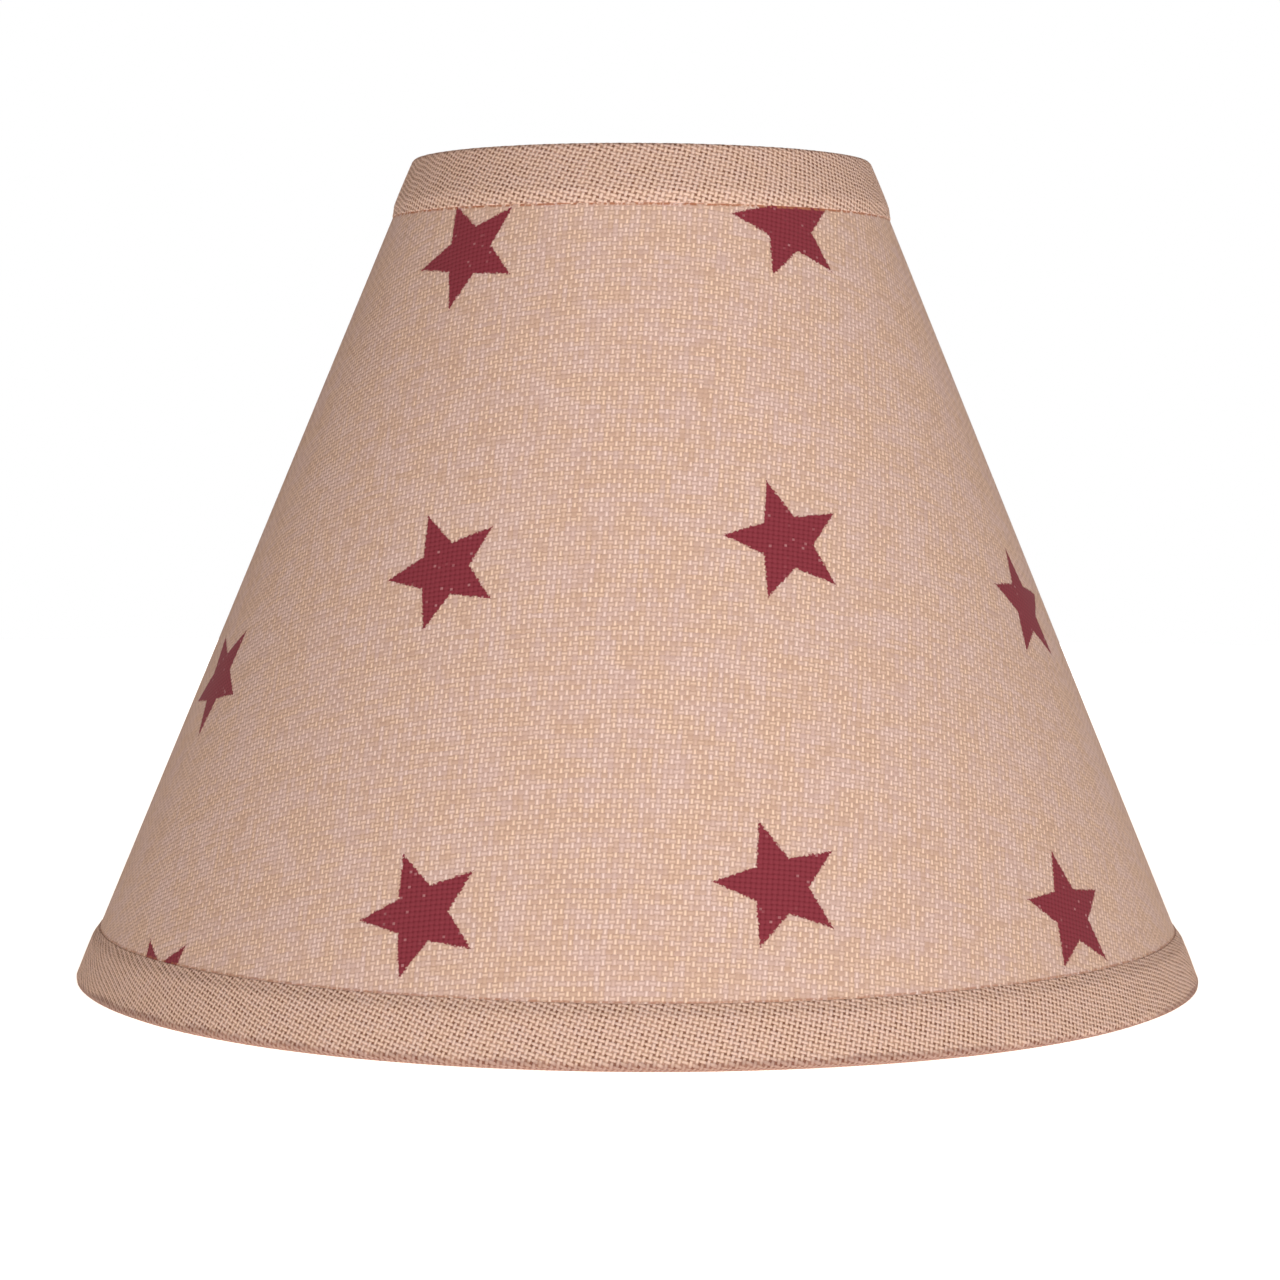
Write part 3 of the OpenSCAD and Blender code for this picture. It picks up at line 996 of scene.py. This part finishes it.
# %% Bend the clip loops
COIL_R = 2.45 * MM
COIL_SHIFT = 2.14 * MM
TAIL = 3.5 * MM
LOOP_R = 17.5 * MM
REACH = 22 * MM
SHOULDER = 12 * MM
DROP = 38 * MM
BEND_REACH = 7
WIRE_STEP = 0.5 * MM
WIRE_SIDES = 14
COILS = {"clip_loop_front": 8.9 * MM, "clip_loop_back": 4.8 * MM}


def smooth_path(points):
    """The path at even steps, with its corners rounded as by a bending pin."""
    soft = rounded(points, BEND_REACH)
    length = even(soft, [0])[1]
    return even(soft, np.linspace(0, length, round(length / WIRE_STEP)))[0]


def tube(name, path, radius):
    """A round wire along a path, with rounded ends."""
    along = np.gradient(path, axis=0)
    along /= np.linalg.norm(along, axis=1)[:, None]
    side = np.cross(along[0], (0.3, 0.9, 0.1))
    rings = []
    ends = np.minimum(np.arange(len(path)), np.arange(len(path))[::-1]) * WIRE_STEP
    size = radius * np.sqrt(1 - np.clip(1 - (ends + 0.02 * MM) / radius, 0, 1) ** 2)
    turn = np.arange(WIRE_SIDES)[:, None] * 2 * math.pi / WIRE_SIDES
    for place, heading, r in zip(path, along, size):
        side = side - heading * side.dot(heading)
        side /= np.linalg.norm(side)
        rings.append(place + r * (np.cos(turn) * side + np.sin(turn) * np.cross(heading, side)))
    return wire_mesh(name, rings, np.hstack([np.cos(turn), np.sin(turn)]))


def wire_mesh(name, rings, circle):
    """Joins the rings into a tube, caps it, and lays it out beside its two caps."""
    count, sides = len(rings), len(circle)
    i, j = (k.ravel() for k in np.meshgrid(np.arange(count - 1), np.arange(sides), indexing="ij"))
    corners = [(i, j), (i, j + 1), (i + 1, j + 1), (i + 1, j)]
    faces = np.stack([a * sides + b % sides for a, b in corners], -1).tolist()
    faces += [list(range(sides))[::-1], list(range((count - 1) * sides, count * sides))]
    mesh = bpy.data.meshes.new(name)
    mesh.from_pydata(np.concatenate(rings), [], faces)
    flat = [np.stack([0.01 + a / count * 0.98, 0.01 + b / sides * 0.1], -1) for a, b in corners]
    caps = [0.05 * circle + (x, 0.3) for x in (0.1, 0.3)]
    uv = np.concatenate([np.stack(flat, 1).reshape(-1, 2), *caps]).astype(np.float32)
    mesh.uv_layers.new(name="OFBake").uv.foreach_set("vector", uv.ravel())
    return show(name, mesh)


def clip_loop(name, node, facing):
    """A loop in front (facing -1) or behind (facing 1) of the rivet."""
    low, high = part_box(node)
    wire = (high.x - low.x) / 2 - LOOP_R
    axis = sum(corner.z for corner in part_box("pivot_rivet")) / 2
    coil_x = COILS[node]
    toward = math.atan2(-SHOULDER, -REACH) + math.acos(COIL_R / math.hypot(REACH, SHOULDER))
    turns = np.linspace(0, 2 * math.pi - toward, 120)
    half = [(coil_x - COIL_SHIFT / 2, -COIL_R, z) for z in np.linspace(TAIL, 0.1 * MM, 8)]
    half += [
        (coil_x + COIL_SHIFT * (t / turns[-1] - 0.5), -COIL_R * math.cos(t), -COIL_R * math.sin(t))
        for t in turns
    ]
    half += [(half[-1][0], REACH, -SHOULDER)]
    open_turn = math.acos(half[-1][0] / LOOP_R)
    around = np.linspace(open_turn, -math.pi / 2, 60)
    half += [(LOOP_R * math.cos(a), REACH, LOOP_R * math.sin(a) - DROP) for a in around]
    half = np.array(half) * (1, facing, 1) + (0, 0, axis)
    whole = np.concatenate([half, half[-2::-1] * (-1, 1, 1)])
    return tube(name, smooth_path(whole), wire)


for name, node, body, facing in (
    ("front_spring_loop", "clip_loop_front", "front_grip", -1),
    ("back_spring_loop", "clip_loop_back", "back_grip", 1),
):
    loop = clip_loop(name, node, facing)
    loop.data.materials.append(steel)
    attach(loop, body)
    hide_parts(node)

# %% [markdown]
# ## The floor
#
# The shade stands on a flat round table top, wide enough to fill the view. It glows a
# little, as the glass of a light table does, and its warm white lights the cloth from
# below.

# %% Lay the floor
FLOOR_R = 1.4
TABLE_GLOW = 0.95


def pale_floor():
    m = Recipe("pale_floor")
    return m.finish(
        Base_Color=m.mix(m.cloud(2.0), (0.9, 0.9, 0.9, 1), (0.94, 0.94, 0.94, 1)), Roughness=0.9,
        Specular_IOR_Level=0.1, Emission_Color=(1.0, 0.97, 0.91, 1), Emission_Strength=TABLE_GLOW,
    )


floor_mesh = bpy.data.meshes.new("floor")
turns = np.linspace(0, 2 * math.pi, 65)[:-1]
outline = [(FLOOR_R * math.cos(a), FLOOR_R * math.sin(a), 0) for a in turns]
floor_mesh.from_pydata(outline, [], [range(len(outline))])
floor = show("floor", floor_mesh)
floor.data.materials.append(pale_floor())

# %% [markdown]
# ## What the cloth was cut from
#
# The size of the cone's flat cut, a fan, is worked out and printed, so the model can be
# set against real cloth.

tip_to_rim = slant_from_tip(face["low"])
tip_to_top = slant_from_tip(face["high"])
fan_turn = 2 * math.pi * lean_sin
fan_area = fan_turn / 2 * (tip_to_rim ** 2 - tip_to_top ** 2)
fan_size = (2 * tip_to_rim * math.sin(fan_turn / 2), tip_to_rim - tip_to_top * math.cos(fan_turn / 2))
print("fan cut from", [round(x, 3) for x in fan_size], "m, area", round(fan_area, 4), "square metres")
